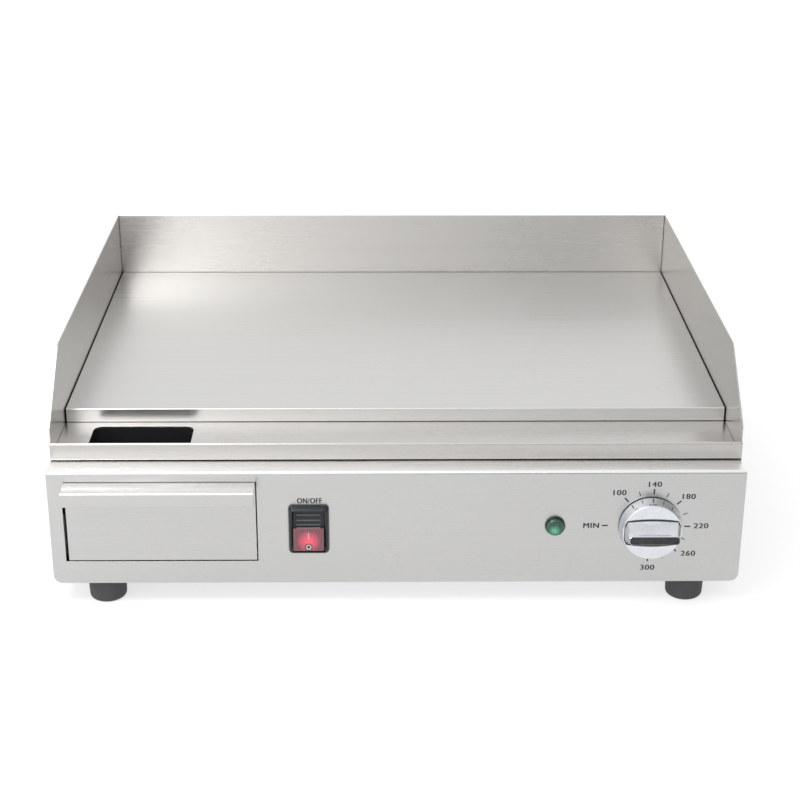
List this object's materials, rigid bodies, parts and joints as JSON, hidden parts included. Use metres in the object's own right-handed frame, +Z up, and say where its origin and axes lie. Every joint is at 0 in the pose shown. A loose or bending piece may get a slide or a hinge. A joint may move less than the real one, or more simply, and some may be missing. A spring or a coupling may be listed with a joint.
{
  "type": "electric griddle",
  "caption": "Countertop electric griddle: a flat steel cooking plate with splash guards and a grease gutter on a sheet-steel housing with a pull-out grease drawer, thermostat and switch.",
  "frame": {"origin": "under the middle of the whole object, on the surface that its feet stand on", "axes": "+X to the right as seen from the front, +Y to the rear, +Z up; the controls face -Y"},
  "size_m": [0.55, 0.493, 0.1935],
  "materials": {
    "stainless_steel": "brushed stainless sheet, fine straight grain",
    "plate_steel": "ground steel plate, fine grain across the width",
    "zinc_plated_steel": "dull zinc plating",
    "black_rubber": "matt black rubber",
    "black_plastic": "satin black plastic",
    "black_enamel": "matt black enamel",
    "element_sheath": "dark oxidised tube",
    "brass": "plain brass",
    "copper": "plain copper",
    "fibre_mat": "white ceramic fibre mat",
    "ceramic": "unglazed cream ceramic",
    "chrome": "polished chrome plating",
    "red_lens": "translucent red plastic",
    "green_lens": "translucent green plastic",
    "wire_insulation": "plastic wire insulation",
    "heat_sleeve": "woven glass-fibre wire sleeve"
  },
  "bodies": {
    "griddle": {"housing_shell": "stainless_steel", "front_panel": "stainless_steel", "rear_panel": "stainless_steel", "bottom_plate": "zinc_plated_steel", "top_gasket": "black_rubber", "gutter_frame": "stainless_steel", "drain_chute": "black_enamel", "cooking_plate": "plate_steel", "left_splash_guard": "stainless_steel", "right_splash_guard": "stainless_steel", "rear_splash_guard": "stainless_steel", "left_drawer_rail": "zinc_plated_steel", "right_drawer_rail": "zinc_plated_steel", "front_left_foot": "black_rubber", "front_right_foot": "black_rubber", "rear_left_foot": "black_rubber", "rear_right_foot": "black_rubber", "foot_screws": "zinc_plated_steel", "foot_nuts": "zinc_plated_steel", "left_heating_element": "element_sheath", "right_heating_element": "element_sheath", "element_pins": "brass", "plate_studs": "zinc_plated_steel", "clamp_bars": "zinc_plated_steel", "clamp_nuts": "zinc_plated_steel", "insulation_pad": "fibre_mat", "heat_shield": "zinc_plated_steel", "thermostat_body": "ceramic", "thermostat_bracket": "zinc_plated_steel", "thermostat_screws": "zinc_plated_steel", "capillary_tube": "copper", "sensor_bulb": "copper", "bulb_sleeve": "zinc_plated_steel", "switch_frame": "black_plastic", "switch_terminals": "brass", "lamp_lens": "green_lens", "lamp_body": "black_plastic", "lamp_nut": "zinc_plated_steel", "terminal_block": "ceramic", "cable_gland": "black_plastic", "gland_locknut": "black_plastic", "earth_stud": "brass", "earth_nuts": "brass", "supply_wires": "wire_insulation", "control_wires": "wire_insulation", "element_wires": "heat_sleeve", "rear_panel_screws": "zinc_plated_steel", "bottom_plate_screws": "zinc_plated_steel"},
    "drawer": {"drawer_front": "stainless_steel", "drawer_box": "stainless_steel"},
    "control": {"knob": "chrome", "thermostat_shaft": "brass"},
    "rocker": {"rocker_paddle": "black_plastic", "rocker_lens": "red_lens"}
  },
  "joints": [
    {"name": "drawer_slide", "type": "slide", "parent": "griddle", "child": "drawer", "axis": [0, -1, 0], "range_m": [0, 0.17]},
    {"name": "knob_turn", "type": "hinge", "parent": "griddle", "child": "control", "pos_m": [0.201, -0.2185, 0.0705], "axis": [0, 1, 0], "range_deg": [0, 265]},
    {"name": "rocker_press", "type": "hinge", "parent": "griddle", "child": "rocker", "pos_m": [-0.07, -0.2145, 0.0685], "axis": [1, 0, 0], "range_deg": [0, 16]}
  ]
}
